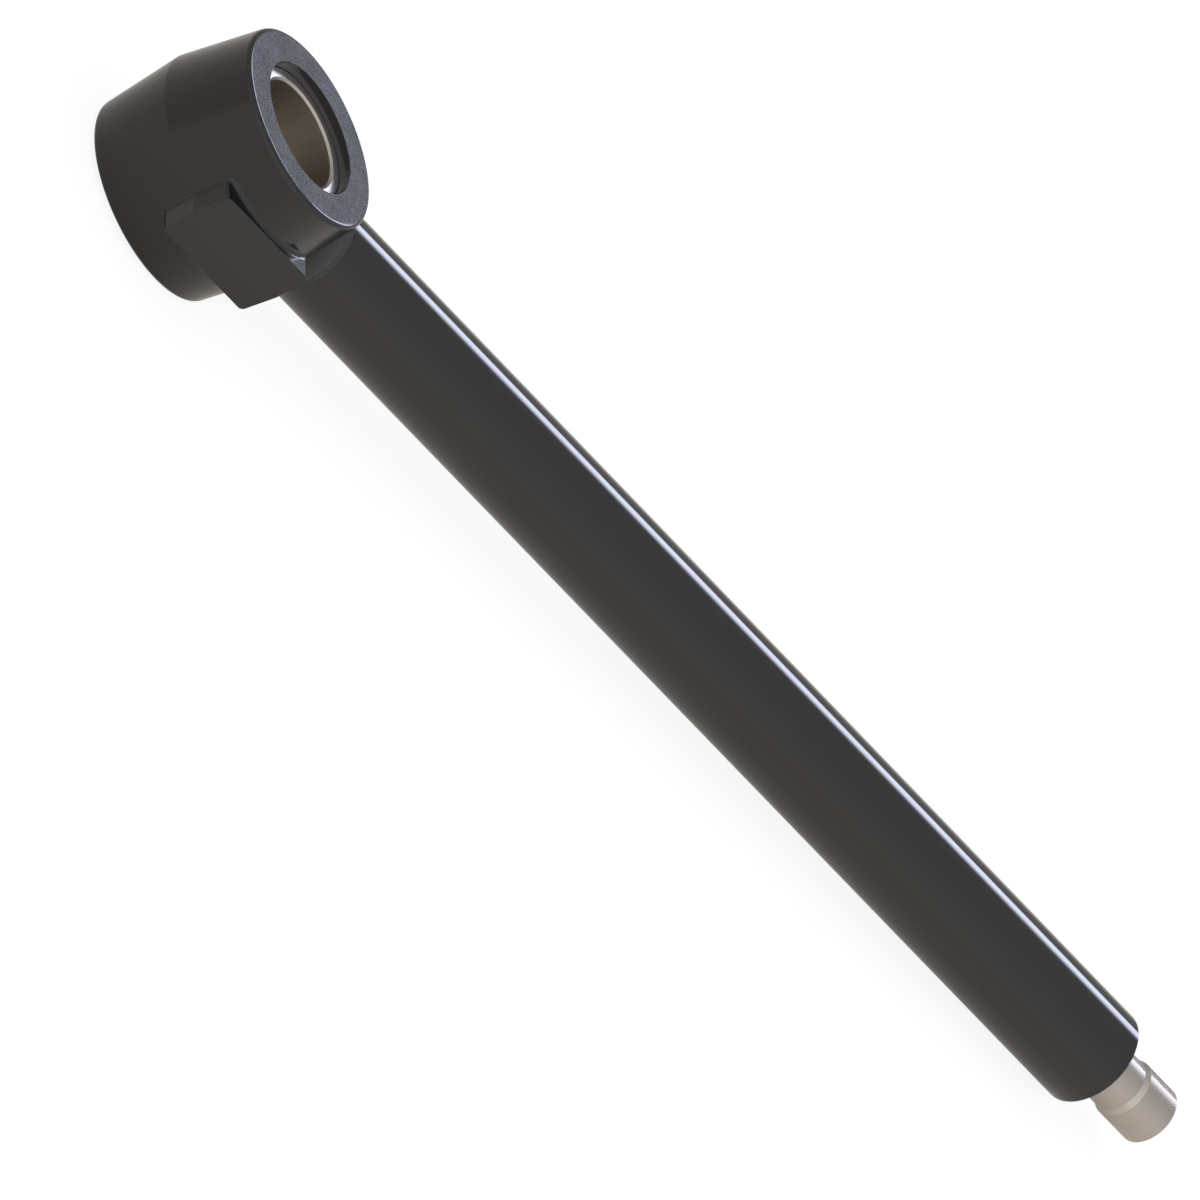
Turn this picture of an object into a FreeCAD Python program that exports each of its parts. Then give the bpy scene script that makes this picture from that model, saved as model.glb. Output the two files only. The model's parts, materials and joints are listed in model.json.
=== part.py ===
import FreeCAD, Part

import math
import os

from FreeCAD import Vector

# driving dimensions, in mm and degrees
rod_diameter = 40.0
rod_length = 504.5
rod_rim_chamfer = 1.4
rod_gap = 4.6
neck_diameter = 22.0
neck_length = 16.9
lead_length = 2.3
spigot_diameter = 24.0
spigot_length = 17.2
spigot_chamfer = 0.5

barrel_diameter = 84.2
barrel_length = 65.6
barrel_rim_round = 2.0
draft_angle = 7.0
housing_diameter = 50.4

block_width = 28.0
block_proud = 0.1
block_rear_reach = 25.2
block_front_reach = 27.4
block_corner_round = 2.0
root_round = 1.9

nose_tip_diameter = 15.0
nose_angle = 45.0

bush_wall = 4.6
bush_recess = 4.65
bush_bore_chamfer = 0.8
bush_rim_chamfer = 0.4

# sizes that follow from them
tolerance = 0.001
rod_radius = rod_diameter / 2
neck_radius = neck_diameter / 2
spigot_radius = spigot_diameter / 2
ridge_radius = barrel_diameter / 2
housing_radius = housing_diameter / 2
bush_bore_radius = housing_radius - bush_wall
nose_tip_radius = nose_tip_diameter / 2
draft = math.tan(math.radians(draft_angle))
half_barrel = barrel_length / 2
half_block = block_width / 2
half_bush = half_barrel - bush_recess
block_height = ridge_radius + block_proud
rod_start = ridge_radius + rod_gap

origin = Vector(0, 0, 0)
along_rod = Vector(1, 0, 0)
across = Vector(0, 1, 0)
along_bore = Vector(0, 0, 1)


def rounding(before, corner, after, radius):
    """Start, middle and end of the arc that rounds one corner."""
    back = (before - corner).normalize()
    on = (after - corner).normalize()
    half_angle = back.getAngle(on) / 2
    inward = (back + on).normalize()
    start = corner + back * (radius / math.tan(half_angle))
    middle = corner + inward * (radius / math.sin(half_angle) - radius)
    end = corner + on * (radius / math.tan(half_angle))
    return start, middle, end


def outline(corners):
    """Flat face through corners given as (first axis, third axis, radius of the rounding)."""
    points = [Vector(first, 0, third) for first, third, radius in corners]
    arcs = []
    for place, point in enumerate(points):
        before = points[place - 1]
        after = points[(place + 1) % len(points)]
        arcs.append(rounding(before, point, after, corners[place][2]))
    edges = []
    for place, (start, middle, end) in enumerate(arcs):
        if corners[place][2] > 0:
            edges.append(Part.Arc(start, middle, end).toShape())
        following = arcs[(place + 1) % len(arcs)][0]
        edges.append(Part.makeLine(end, following))
    return Part.Face(Part.Wire(edges))


def turned(corners, axis):
    """Solid of revolution about an axis through the origin."""
    return outline(corners).revolve(origin, axis, 360)


def on_barrel(point):
    """True where a point lies on the drafted side of the barrel."""
    side = ridge_radius - point.z * draft
    return abs(math.hypot(point.x, point.y) - side) < tolerance


def samples(edge):
    return edge.discretize(Number=5)


# the bar and the spigot turned on its far end, one piece
shoulder = rod_start + rod_length
lead_start = shoulder + neck_length
lead_end = lead_start + lead_length
tip = lead_end + spigot_length
piston_rod = turned([
    (rod_start, 0, 0),
    (rod_start, rod_radius - rod_rim_chamfer, 0),
    (rod_start + rod_rim_chamfer, rod_radius, 0),
    (shoulder - rod_rim_chamfer, rod_radius, 0),
    (shoulder, rod_radius - rod_rim_chamfer, 0),
    (shoulder, neck_radius, 0),
    (lead_start, neck_radius, 0),
    (lead_end, spigot_radius, 0),
    (tip - spigot_chamfer, spigot_radius, 0),
    (tip, spigot_radius - spigot_chamfer, 0),
    (tip, 0, 0),
], along_rod)

# upper half of the forged eye, parted at its middle plane
half_eye = turned([
    (0, 0, 0),
    (ridge_radius, 0, 0),
    (ridge_radius - half_barrel * draft, half_barrel, barrel_rim_round),
    (0, half_barrel, 0),
], along_bore)
block = outline([
    (-block_rear_reach, 0, 0),
    (half_block * draft - block_rear_reach, half_block, block_corner_round),
    (block_front_reach - half_block * draft, half_block, block_corner_round),
    (block_front_reach, 0, 0),
]).extrude(across * -block_height)
half_eye = half_eye.fuse(block)

# root roundings where the block leaves the barrel
roots = []
for edge in half_eye.Edges:
    points = samples(edge)
    below_top = all(point.z < half_block + tolerance for point in points)
    above_parting = points[2].z > tolerance
    if below_top and above_parting and all(on_barrel(point) for point in points):
        roots.append(edge)
half_eye = half_eye.makeFillet(root_round, roots)

# nose that joins the barrel to the flat end of the bar
nose_root = (housing_radius + ridge_radius) / 2
nose_growth = (rod_start - nose_root) * math.tan(math.radians(nose_angle))
nose = turned([
    (nose_root, 0, 0),
    (nose_root, nose_tip_radius + nose_growth, 0),
    (rod_start, nose_tip_radius, 0),
    (rod_start, 0, 0),
], along_rod)

housing = Part.makeCylinder(housing_radius, barrel_length, along_bore * -half_barrel)
other_half = half_eye.mirror(origin, along_bore)
rod_eye = half_eye.fuse([other_half, nose]).cut(housing).removeSplitter()

# plain bush pressed into the eye
eye_bush = turned([
    (bush_bore_radius, bush_bore_chamfer - half_bush, 0),
    (bush_bore_radius, half_bush - bush_bore_chamfer, 0),
    (bush_bore_radius + bush_bore_chamfer, half_bush, 0),
    (housing_radius - bush_rim_chamfer, half_bush, 0),
    (housing_radius, half_bush - bush_rim_chamfer, 0),
    (housing_radius, bush_rim_chamfer - half_bush, 0),
    (housing_radius - bush_rim_chamfer, -half_bush, 0),
    (bush_bore_radius + bush_bore_chamfer, -half_bush, 0),
], along_bore)

os.makedirs("parts", exist_ok=True)
for name, shape in (("piston_rod", piston_rod), ("rod_eye", rod_eye), ("eye_bush", eye_bush)):
    shape.exportStep("parts/" + name + ".step")
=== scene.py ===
import json
import math

import bpy
from mathutils import Matrix, Vector


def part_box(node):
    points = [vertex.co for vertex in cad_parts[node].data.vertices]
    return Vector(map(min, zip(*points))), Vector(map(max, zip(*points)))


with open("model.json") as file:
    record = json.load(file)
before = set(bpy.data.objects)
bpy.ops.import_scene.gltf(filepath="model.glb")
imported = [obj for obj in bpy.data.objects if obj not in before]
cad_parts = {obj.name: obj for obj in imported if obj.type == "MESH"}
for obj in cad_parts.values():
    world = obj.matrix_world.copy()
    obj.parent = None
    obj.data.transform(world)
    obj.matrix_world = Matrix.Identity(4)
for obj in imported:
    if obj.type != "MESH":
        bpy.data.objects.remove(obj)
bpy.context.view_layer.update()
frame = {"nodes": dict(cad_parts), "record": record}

# places on the part, in metres, read from the frame where it states them
MICRON = 0.000001
mounts = {mount["name"]: mount for mount in frame["record"]["mounts"]}
rod_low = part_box("piston_rod")[0]
eye_low, eye_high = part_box("rod_eye")
bush_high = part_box("eye_bush")[1]


def mount_mm(name, size):
    """A size of a mount, which its record states in millimetres, in metres."""
    return mounts[name]["dims"][size] / 1000


BAR_START = rod_low.x
BAR_END = mounts["piston_shoulder"]["pos_m"][0]
BAR_RADIUS = mount_mm("rod_surface", "r_mm")
BEVEL = (BAR_END - BAR_START - mount_mm("rod_surface", "length_mm")) / 2
CONE_END = mounts["spigot"]["pos_m"][0] - mount_mm("spigot", "length_mm") / 2
CONE_LENGTH = 0.0023
CONE_START = CONE_END - CONE_LENGTH
EYE_FACE = eye_high.z
EYE_RIM = 0.0363
HOUSING = bush_high.x
BUSH_FACE = bush_high.z
BLOCK_TOP = 0.0140
BLOCK_CORNER = 0.010
BLOCK_CORNER_SOFT = 0.006


# node helpers; most of them return a (node, output) pair, ready to be linked on
NOISE_MIDDLE = (0.3, 0.7)
WAVE_PERIOD = 2 * math.pi / 20
IOR = 1.5


def material(name):
    made = bpy.data.materials.new(name)
    made.use_nodes = True
    made.node_tree.nodes.clear()
    return made, made.node_tree


def node(tree, kind, **settings):
    made = tree.nodes.new(kind)
    for key, value in settings.items():
        setattr(made, key, value)
    return made


def feed(tree, given, target, entry):
    """Link a (node, output) pair to an input, or set a plain number, vector or colour on it."""
    socket = target.inputs[entry]
    if isinstance(given, tuple) and isinstance(given[0], bpy.types.Node):
        tree.links.new(given[0].outputs[given[1]], socket)
    elif socket.type == "RGBA":
        socket.default_value = (*given, 1)
    else:
        socket.default_value = given


def value_math(tree, operation, first, second=None):
    made = node(tree, "ShaderNodeMath", operation=operation)
    feed(tree, first, made, 0)
    if second is not None:
        feed(tree, second, made, 1)
    return made, 0


def vector_math(tree, operation, first, second=None, output="Vector"):
    made = node(tree, "ShaderNodeVectorMath", operation=operation)
    feed(tree, first, made, 0)
    if second is not None:
        feed(tree, second, made, 1)
    return made, output


def ranged(tree, source, low, high, out_low=0.0, out_high=1.0, smooth=False):
    """A value that goes from out_low to out_high while the source goes from low to high."""
    made = node(tree, "ShaderNodeMapRange")
    made.interpolation_type = "SMOOTHSTEP" if smooth else "LINEAR"
    feed(tree, source, made, "Value")
    feed(tree, low, made, "From Min")
    feed(tree, high, made, "From Max")
    feed(tree, out_low, made, "To Min")
    feed(tree, out_high, made, "To Max")
    return made, "Result"


def mixed(tree, factor, first, second, kind="RGBA"):
    """A blend from the first to the second, of colours or, with kind FLOAT, of numbers."""
    made = node(tree, "ShaderNodeMix", data_type=kind)
    first_entry, second_entry, output = {"FLOAT": (2, 3, 0), "RGBA": (6, 7, 2)}[kind]
    feed(tree, factor, made, 0)
    feed(tree, first, made, first_entry)
    feed(tree, second, made, second_entry)
    return made, output


def shader_mix(tree, factor, first, second):
    made = node(tree, "ShaderNodeMixShader")
    feed(tree, factor, made, 0)
    feed(tree, first, made, 1)
    feed(tree, second, made, 2)
    return made, "Shader"


def shader_sum(tree, first, second):
    made = node(tree, "ShaderNodeAddShader")
    feed(tree, first, made, 0)
    feed(tree, second, made, 1)
    return made, "Shader"


def own_place(tree):
    return node(tree, "ShaderNodeTexCoord"), "Object"


def split(tree, vector):
    made = node(tree, "ShaderNodeSeparateXYZ")
    feed(tree, vector, made, "Vector")
    return made


def from_bore(tree):
    """How far a point is from the line through the eye's bore."""
    flattened = vector_math(tree, "MULTIPLY", own_place(tree), (1, 1, 0))
    return vector_math(tree, "LENGTH", flattened, output="Value")


def noise(tree, scale, detail, stretch=(1, 1, 1)):
    mapping = node(tree, "ShaderNodeMapping")
    feed(tree, own_place(tree), mapping, "Vector")
    feed(tree, stretch, mapping, "Scale")
    grain = node(tree, "ShaderNodeTexNoise")
    feed(tree, (mapping, "Vector"), grain, "Vector")
    feed(tree, scale, grain, "Scale")
    feed(tree, detail, grain, "Detail")
    return grain, "Fac"


def by_noise(tree, source, limits):
    """A value that wanders between two limits with the middle of a noise."""
    return ranged(tree, source, *NOISE_MIDDLE, *limits)


def rings(tree, axis, pitch):
    """Turning marks: fine ridges that follow one another along an axis, a pitch apart."""
    wave = node(tree, "ShaderNodeTexWave", wave_type="BANDS", bands_direction=axis)
    feed(tree, own_place(tree), wave, "Vector")
    feed(tree, WAVE_PERIOD / pitch, wave, "Scale")
    feed(tree, 1.2, wave, "Distortion")
    feed(tree, 2, wave, "Detail")
    return wave, "Fac"


def bumped(tree, height, strength, distance, before=None):
    made = node(tree, "ShaderNodeBump")
    feed(tree, strength, made, "Strength")
    feed(tree, distance, made, "Distance")
    feed(tree, height, made, "Height")
    if before is not None:
        feed(tree, before, made, "Normal")
    return made, "Normal"


def surface(tree, colour, roughness, normal, metallic):
    made = node(tree, "ShaderNodeBsdfPrincipled")
    feed(tree, metallic, made, "Metallic")
    feed(tree, IOR, made, "IOR")
    feed(tree, colour, made, "Base Color")
    feed(tree, roughness, made, "Roughness")
    feed(tree, normal, made, "Normal")
    return made, "BSDF"


def finished(tree, shader, kind="ShaderNodeOutputMaterial"):
    feed(tree, shader, node(tree, kind), "Surface")


# looks of the three pieces
BLACK = (0.0035, 0.0035, 0.0036)
BLACK_WORN = (0.0060, 0.0059, 0.0058)
STEEL = (0.430, 0.392, 0.358)
STEEL_DULL = (0.395, 0.358, 0.322)
# the lead cone's paler steel is a painted reflection, for the brighter floor the cone mirrors
LEAD_CONE_PAINTED_REFLECTION = (0.490, 0.448, 0.405)
# painted light on the bar's end beside the eye: a pale grey flat, and a darker bevel as painted shade
END_PAINTED_LIGHT = (0.305, 0.312, 0.312)
BEVEL_PAINTED_SHADE = (0.088, 0.088, 0.086)
# painted light: the wall of the eye's housing is painted paler than the black, for light in the
# recess
HOUSING_PAINTED_LIGHT = (0.036, 0.034, 0.033)
# speckle of the forging's grain, its pale blue specks a painted sheen of the lamp that the flat faces
# mirror
SPECKLE_SHEEN = (0.100, 0.108, 0.150)
SPECKLE_RANGE = (0.44, 0.60)
BUSH = (0.475, 0.440, 0.390)
BUSH_DULL = (0.440, 0.405, 0.358)
BUSH_FACED = (0.72, 0.70, 0.70)

BAR_ROUGHNESS = (0.045, 0.065)
CUT_ROUGHNESS = (0.80, 0.90)
SPIGOT_ROUGHNESS = (0.34, 0.37)
EYE_ROUGHNESS = (0.12, 0.17)
BUSH_ROUGHNESS = (0.36, 0.42)
FACED_ROUGHNESS = 0.285

FINE = 20 * MICRON
COARSE = 40 * MICRON


def bar_finish(tree, cloud, fine):
    return surface(
        tree,
        mixed(tree, cloud, BLACK, BLACK_WORN),
        by_noise(tree, cloud, BAR_ROUGHNESS),
        bumped(tree, fine, strength=0.03, distance=FINE),
        metallic=0.0,
    )


def spigot_finish(tree, cloud, along):
    """Bare turned steel, with the lead cone between neck and spigot painted a little paler as a
    painted reflection of the bright floor it mirrors.
    """
    past_start = ranged(tree, along, CONE_START, CONE_START + FINE)
    before_end = ranged(tree, along, CONE_END - FINE, CONE_END, 1, 0)
    on_cone = value_math(tree, "MULTIPLY", past_start, before_end)
    marks = rings(tree, "X", pitch=0.0006)
    return surface(
        tree,
        mixed(tree, on_cone, mixed(tree, cloud, STEEL, STEEL_DULL), LEAD_CONE_PAINTED_REFLECTION),
        ranged(tree, marks, 0, 1, *SPIGOT_ROUGHNESS),
        bumped(tree, marks, strength=0.002, distance=FINE),
        metallic=1.0,
    )


def end_finish_painted_light_and_shade(tree, cloud, fine, along):
    """The matt end of the bar beside the eye: its flat is painted pale grey as painted light, for the
    light it lacks beside the barrel, and its bevel is painted darker than the flat as painted shade.
    """
    on_bevel = ranged(tree, along, BAR_START + 2 * MICRON, BAR_START + 6 * MICRON)
    return surface(
        tree,
        mixed(tree, on_bevel, END_PAINTED_LIGHT, BEVEL_PAINTED_SHADE),
        by_noise(tree, cloud, CUT_ROUGHNESS),
        bumped(tree, fine, strength=0.05, distance=FINE),
        metallic=0.0,
    )


def rod_look():
    """One piece with three finishes: glossy black bar, bare spigot and matt cut end, the end with
    painted light and shade.
    """
    made, tree = material("black_bar_and_bare_spigot")
    cloud = noise(tree, scale=60, detail=3)
    fine = noise(tree, scale=2600, detail=2, stretch=(0.12, 1, 1))
    along = (split(tree, own_place(tree)), "X")
    bare = ranged(tree, along, BAR_END - 40 * MICRON, BAR_END - 10 * MICRON)
    # the end beside the eye gets painted light and shade: a pale grey flat and a darker bevel
    cut = ranged(tree, along, BAR_START + BEVEL - 40 * MICRON, BAR_START + BEVEL, 1, 0)
    turned = shader_mix(tree, bare, bar_finish(tree, cloud, fine), spigot_finish(tree, cloud, along))
    finished(tree, shader_mix(tree, cut, turned, end_finish_painted_light_and_shade(tree, cloud, fine, along)))
    return made


def sheen_places(tree):
    """Where the speckle's painted sheen goes: the eye's two flat rings and the open corner on top of
    its block, which mirror the lamp.
    """
    place = split(tree, own_place(tree))
    from_middle = value_math(tree, "ABSOLUTE", (place, "Z"))
    ring = ranged(tree, from_middle, EYE_FACE - 100 * MICRON, EYE_FACE - 20 * MICRON)
    above_block = value_math(tree, "SUBTRACT", (place, "Z"), BLOCK_TOP)
    off_block_top = value_math(tree, "ABSOLUTE", above_block)
    block_top = ranged(tree, off_block_top, 20 * MICRON, 60 * MICRON, 1, 0)
    corner = ranged(tree, (place, "X"), BLOCK_CORNER, BLOCK_CORNER + BLOCK_CORNER_SOFT)
    return value_math(tree, "MAXIMUM", ring, value_math(tree, "MULTIPLY", block_top, corner))


def eye_look():
    """Satin black forging, painted paler on the wall of its housing as painted light in the recess,
    and speckled on its flat faces, with pale blue specks as a painted sheen.
    """
    made, tree = material("black_forging")
    cloud = noise(tree, scale=90, detail=4)
    skin = noise(tree, scale=420, detail=4)
    grain = noise(tree, scale=1500, detail=1)
    normal = bumped(tree, skin, strength=0.008, distance=COARSE)
    normal = bumped(tree, grain, strength=0.03, distance=FINE, before=normal)
    worn = mixed(tree, cloud, BLACK, BLACK_WORN)
    # painted light: the housing's wall is painted paler, standing in for light in the recess
    inside = ranged(tree, from_bore(tree), HOUSING + 40 * MICRON, HOUSING + 100 * MICRON, 1, 0)
    tone_and_housing_light = mixed(tree, inside, worn, HOUSING_PAINTED_LIGHT)
    # speckle on the flat faces: the grain, with pale blue specks laid on as a painted sheen
    spots = ranged(tree, noise(tree, scale=3000, detail=1), *SPECKLE_RANGE)
    speckle_sheen = value_math(tree, "MULTIPLY", sheen_places(tree), spots)
    black = surface(
        tree,
        mixed(tree, speckle_sheen, tone_and_housing_light, SPECKLE_SHEEN),
        by_noise(tree, cloud, EYE_ROUGHNESS),
        normal,
        metallic=0.0,
    )
    finished(tree, black)
    return made


def bush_look():
    """Turned steel; its faced ends are smoother, so that they mirror the dark wall beside them."""
    made, tree = material("turned_steel_bush")
    cloud = noise(tree, scale=120, detail=3)
    grain = noise(tree, scale=3000, detail=2)
    marks = rings(tree, "Z", pitch=0.0005)
    from_middle = value_math(tree, "ABSOLUTE", (split(tree, own_place(tree)), "Z"))
    faced = ranged(tree, from_middle, BUSH_FACE - 60 * MICRON, BUSH_FACE - 20 * MICRON)
    steel = surface(
        tree,
        mixed(tree, faced, mixed(tree, cloud, BUSH, BUSH_DULL), BUSH_FACED),
        mixed(tree, faced, by_noise(tree, grain, BUSH_ROUGHNESS), FACED_ROUGHNESS, "FLOAT"),
        bumped(tree, marks, strength=0.015, distance=FINE),
        metallic=1.0,
    )
    finished(tree, steel)
    return made


looks = {"piston_rod": rod_look(), "rod_eye": eye_look(), "eye_bush": bush_look()}
for name, look in looks.items():
    piece = frame["nodes"][name]
    piece.data.materials.clear()
    piece.data.materials.append(look)
    for face in piece.data.polygons:
        face.use_smooth = True

# the floor touches the lower rim of the eye and the lower edge of the bar's far end
RIM_TOUCH = (EYE_RIM, eye_low.z)
END_TOUCH = (BAR_END - BEVEL, -BAR_RADIUS)
SLOPE = (END_TOUCH[1] - RIM_TOUCH[1]) / (END_TOUCH[0] - RIM_TOUCH[0])
CLEAR = 50 * MICRON
REACH = 4.0

# what the camera sees of the floor, what polished faces mirror of it, and the painted shade that
# darkens that behind
FLOOR_SEEN = 0.89
FLOOR_PLAIN = (0.14, 0.14, 0.14)
FLOOR_LIT = (0.67, 0.64, 0.60)
FLOOR_PAINTED_SHADE_BEHIND = (0.49, 0.466, 0.437)
FLOOR_FADE = (-0.03, 0.05)
FLOOR_TINT = (1.05, 1.0, 0.94)
FLOOR_GLOW = 0.27
GLOW_BEHIND = 0.72
BORE_GLOW = 0.95
BORE_REACH = 0.024
BORE_SOFT = 0.001


def emission(tree, colour, strength):
    made = node(tree, "ShaderNodeEmission")
    feed(tree, colour, made, "Color")
    feed(tree, strength, made, "Strength")
    return made, "Emission"


def floor_look():
    """White to the camera with the part's soft shadow, and a lit surface to every other ray, painted
    darker behind as painted shade.
    """
    made, tree = material("pale_floor")
    path = node(tree, "ShaderNodeLightPath")
    seen = value_math(tree, "MAXIMUM", (path, "Is Camera Ray"), (path, "Is Transmission Ray"))
    # painted shade: the floor's lit colour and its glow are darker behind
    behind = ranged(tree, (split(tree, own_place(tree)), "Y"), *FLOOR_FADE, smooth=True)
    lit = mixed(tree, behind, FLOOR_LIT, FLOOR_PAINTED_SHADE_BEHIND)
    plain = node(tree, "ShaderNodeBsdfDiffuse")
    feed(tree, mixed(tree, seen, lit, FLOOR_PLAIN), plain, "Color")
    white = emission(tree, (1, 1, 1), value_math(tree, "MULTIPLY", seen, FLOOR_SEEN))

    # polished faces mirror the floor brighter than it is lit, most of all below the bore
    below_bore = ranged(
        tree, from_bore(tree), BORE_REACH, BORE_REACH + BORE_SOFT, BORE_GLOW, FLOOR_GLOW
    )
    glow = value_math(tree, "MULTIPLY", below_bore, ranged(tree, behind, 0, 1, 1.0, GLOW_BEHIND))
    mirrored_level = value_math(tree, "MULTIPLY", glow, (path, "Is Glossy Ray"))
    mirrored = emission(tree, FLOOR_TINT, mirrored_level)
    finished(tree, shader_sum(tree, shader_sum(tree, (plain, "BSDF"), white), mirrored))
    return made


def floor_point(x, y):
    return Vector((x, y, RIM_TOUCH[1] + (x - RIM_TOUCH[0]) * SLOPE - CLEAR))


corners = [(-REACH, -REACH), (REACH, -REACH), (REACH, REACH), (-REACH, REACH)]
floor_mesh = bpy.data.meshes.new("floor")
floor_mesh.from_pydata([floor_point(x, y) for x, y in corners], [], [(0, 1, 2, 3)])
floor_mesh.materials.append(floor_look())
floor = bpy.data.objects.new("floor", floor_mesh)
bpy.context.scene.collection.objects.link(floor)

# even surroundings; polished faces mirror them brighter in front, with one soft cool lamp behind
PLAIN_LEVEL = 1.0
SEEN_LEVEL = 1.0
SIDE_LEVEL = 0.78
LESS_BEHIND = -0.39
LESS_TO_TIP = -0.17
BELOW_LEVEL = 0.88
HORIZON_SOFT = 0.03
TINT_HEIGHT = 0.45
LAMP_ACROSS = Vector((0.0, 0.750, 0.661)).normalized()
LAMP_NEAR_END = (0.30, 0.44)
LAMP_FAR_END = (0.74, 0.86)
LAMP_COLOUR = (0.89, 0.96, 1.20)
LAMP_LEVEL = 7.4
LAMP_TIGHTNESS = 225


def background(tree, colour, strength):
    made = node(tree, "ShaderNodeBackground")
    feed(tree, colour, made, "Color")
    feed(tree, strength, made, "Strength")
    return made, "Background"


def surroundings(tree, way):
    """What polished faces mirror: a level that falls off behind and toward the spigot's end."""
    place = split(tree, way)
    behind = value_math(tree, "MULTIPLY", (place, "Y"), LESS_BEHIND)
    to_tip = value_math(tree, "MULTIPLY", (place, "X"), LESS_TO_TIP)
    above = value_math(tree, "ADD", value_math(tree, "ADD", behind, to_tip), SIDE_LEVEL)
    is_below = ranged(tree, (place, "Z"), 0.0, -HORIZON_SOFT)
    level = mixed(tree, is_below, above, BELOW_LEVEL, "FLOAT")
    rise = ranged(tree, (place, "Z"), 0.0, TINT_HEIGHT, smooth=True)
    return background(tree, mixed(tree, rise, FLOOR_TINT, (1, 1, 1)), level)


def strip_lamp(tree, way):
    """A soft strip along the part, bright at its middle line and faded out at both ends."""
    sidewise = vector_math(tree, "MULTIPLY", way, (0, 1, 1))
    unit = vector_math(tree, "NORMALIZE", sidewise)
    toward = vector_math(tree, "DOT_PRODUCT", unit, LAMP_ACROSS, output="Value")
    ahead = value_math(tree, "MAXIMUM", toward, 0.0)
    spread = value_math(tree, "POWER", ahead, LAMP_TIGHTNESS)
    along = (split(tree, way), "X")
    near_end = ranged(tree, along, *LAMP_NEAR_END, smooth=True)
    far_end = ranged(tree, along, *LAMP_FAR_END, 1, 0, smooth=True)
    window = value_math(tree, "MULTIPLY", near_end, far_end)
    strip = value_math(tree, "MULTIPLY", spread, window)
    return background(tree, LAMP_COLOUR, value_math(tree, "MULTIPLY", strip, LAMP_LEVEL))


def studio():
    """White to the camera, an even level as light, and the surroundings to polished faces."""
    world = bpy.data.worlds.new("studio")
    world.use_nodes = True
    tree = world.node_tree
    tree.nodes.clear()
    way = (node(tree, "ShaderNodeTexCoord"), "Generated")
    path = node(tree, "ShaderNodeLightPath")
    mirrored = shader_sum(tree, surroundings(tree, way), strip_lamp(tree, way))
    even = background(tree, (1, 1, 1), PLAIN_LEVEL)
    seen = background(tree, (1, 1, 1), SEEN_LEVEL)
    by_gloss = shader_mix(tree, (path, "Is Glossy Ray"), even, mirrored)
    by_sight = shader_mix(tree, (path, "Is Camera Ray"), by_gloss, seen)
    finished(tree, by_sight, "ShaderNodeOutputWorld")
    return world


bpy.context.scene.world = studio()

# long-lens camera at the photograph's angle; its middle is given along its own axes
RIGHT = Vector((0.5489, -0.0202, 0.8357)).normalized()
UPWARD = Vector((-0.5683, 0.7246, 0.3897))
BACK = RIGHT.cross(UPWARD).normalized()
UP = BACK.cross(RIGHT).normalized()
MIDDLE_RIGHT = 0.12804
MIDDLE_UP = -0.15130
MIDDLE_BACK = -0.184
FRAME_WIDTH = 0.42105
SENSOR = 36.0
LENS = 1700.0
NEAR_CLIP = 1.0
FAR_CLIP = 60.0


def long_lens():
    data = bpy.data.cameras.new("camera")
    data.lens = LENS
    data.sensor_width = SENSOR
    data.clip_start = NEAR_CLIP
    data.clip_end = FAR_CLIP
    camera = bpy.data.objects.new("camera", data)
    bpy.context.scene.collection.objects.link(camera)
    middle = RIGHT * MIDDLE_RIGHT + UP * MIDDLE_UP + BACK * MIDDLE_BACK
    distance = FRAME_WIDTH / SENSOR * LENS
    turn = Matrix((RIGHT, UP, BACK)).transposed().to_4x4()
    camera.matrix_world = Matrix.Translation(middle + BACK * distance) @ turn
    return camera


bpy.context.scene.camera = long_lens()
bpy.context.scene.view_settings.view_transform = "Standard"
